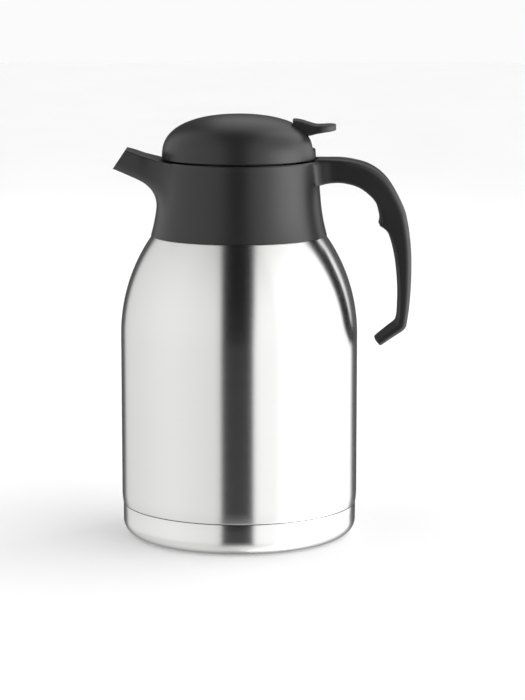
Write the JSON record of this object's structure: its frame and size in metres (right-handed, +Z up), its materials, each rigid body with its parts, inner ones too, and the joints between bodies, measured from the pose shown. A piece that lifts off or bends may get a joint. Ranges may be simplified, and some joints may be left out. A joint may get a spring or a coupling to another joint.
{
  "type": "vacuum jug",
  "caption": "Double-walled steel vacuum jug with a plastic collar and beak spout, a C-shaped handle and a screw lid whose rear thumb lever opens the pouring valve.",
  "frame": {"origin": "centre of the flat base, on the axis of the round body", "axes": "+Z up the body's axis; +X towards the handle and the thumb lever, -X towards the spout"},
  "size_m": [0.176, 0.1402, 0.25],
  "materials": {
    "brushed_steel": "satin, drawn round the body",
    "bright_steel": "bright",
    "black_plastic": "satin, fine moulded grain",
    "inner_plastic": "smooth",
    "silicone": "matte",
    "seal_glass": "fused bead"
  },
  "bodies": {
    "jug": {"outer_shell": "brushed_steel", "inner_liner": "brushed_steel", "vacuum_base_plate": "brushed_steel", "vacuum_seal_plug": "seal_glass", "getter": "bright_steel", "base_cup": "brushed_steel", "collar": "black_plastic", "neck_ring": "inner_plastic", "mouth_gasket": "silicone", "handle": "black_plastic", "handle_screw_1": "bright_steel", "handle_screw_2": "bright_steel"},
    "lid_seal": {"stopper_gasket": "silicone"},
    "lid": {"stopper_body": "inner_plastic", "stopper_o_ring": "silicone", "stopper_deck": "inner_plastic", "lid_dome": "black_plastic", "lever_pin": "bright_steel", "stem_seal": "silicone", "lid_screw_1": "bright_steel", "lid_screw_2": "bright_steel", "lid_screw_3": "bright_steel", "valve_spring": "bright_steel"},
    "lever": {"lever": "black_plastic"},
    "valve": {"valve_stem": "bright_steel", "stem_cap": "inner_plastic", "valve_disc": "inner_plastic", "valve_gasket": "silicone"}
  },
  "joints": [
    {"name": "lid_rise", "type": "slide", "parent": "jug", "child": "lid_seal", "axis": [0, 0, 1], "range_m": [0, 0.0451]},
    {"name": "lid_twist", "type": "hinge", "parent": "lid_seal", "child": "lid", "pos_m": [0, 0, 0.2142], "axis": [0, 0, 1], "range_deg": [0, 1080]},
    {"name": "lever_press", "type": "hinge", "parent": "lid", "child": "lever", "pos_m": [0.03, 0, 0.236], "axis": [0, 1, 0], "range_deg": [0, 12], "stiffness_Nm_per_rad": 0.135, "springref_deg": -28.65},
    {"name": "valve_lift", "type": "slide", "parent": "lid", "child": "valve", "axis": [0, 0, 1], "range_m": [0, 0.0063], "deforming": ["valve_spring"]}
  ],
  "couplings": [
    {"joint": "lid_rise", "follows": "lid_twist", "m_per_rad": 0.0023873},
    {"joint": "valve_lift", "follows": "lever_press", "m_per_rad": 0.03}
  ]
}
